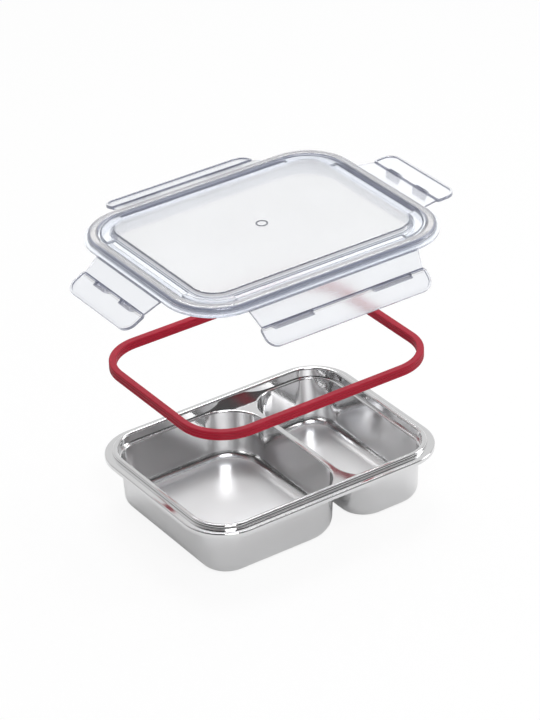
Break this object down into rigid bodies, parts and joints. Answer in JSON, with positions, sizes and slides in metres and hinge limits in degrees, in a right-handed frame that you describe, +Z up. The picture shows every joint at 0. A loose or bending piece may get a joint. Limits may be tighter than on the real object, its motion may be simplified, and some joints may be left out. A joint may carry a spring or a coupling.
{
  "type": "lunch box",
  "caption": "Rectangular steel lunch tray with unequal compartments, a silicone sealing ring and a clear lid held by hinged clip flaps, shown lifted apart.",
  "frame": {"origin": "on the table under the middle of the tray", "axes": "+X along the length, towards the small compartment; +Y across the width, towards the back; +Z up"},
  "size_m": [0.2655, 0.2124, 0.2156],
  "materials": {
    "steel": "satin stainless sheet",
    "silicone": "soft satin silicone",
    "clear_plastic": "clear, glossy, faintly blue-grey"
  },
  "bodies": {
    "tray": {"tray": "steel"},
    "sealing_ring": {"sealing_ring": "silicone"},
    "lid": {"lid_panel": "clear_plastic"},
    "flap_front": {"flap_front": "clear_plastic"},
    "flap_right": {"flap_right": "clear_plastic"},
    "flap_back": {"flap_back": "clear_plastic"},
    "flap_left": {"flap_left": "clear_plastic"}
  },
  "joints": [
    {"name": "ring_lift", "type": "slide", "parent": "tray", "child": "sealing_ring", "axis": [0, 0, 1], "range_m": [-0.065, 0]},
    {"name": "lid_lift", "type": "slide", "parent": "sealing_ring", "child": "lid", "axis": [0, 0, 1], "range_m": [-0.093, 0]},
    {"name": "flap_front_hinge", "type": "hinge", "parent": "lid", "child": "flap_front", "pos_m": [0, -0.0825, 0.209], "axis": [-1, 0, 0], "range_deg": [-45, 135]},
    {"name": "flap_right_hinge", "type": "hinge", "parent": "lid", "child": "flap_right", "pos_m": [0.105, 0, 0.209], "axis": [0, -1, 0], "range_deg": [-88, 92]},
    {"name": "flap_back_hinge", "type": "hinge", "parent": "lid", "child": "flap_back", "pos_m": [0, 0.0825, 0.209], "axis": [1, 0, 0], "range_deg": [-73, 107]},
    {"name": "flap_left_hinge", "type": "hinge", "parent": "lid", "child": "flap_left", "pos_m": [-0.105, 0, 0.209], "axis": [0, 1, 0], "range_deg": [-58, 122]}
  ]
}
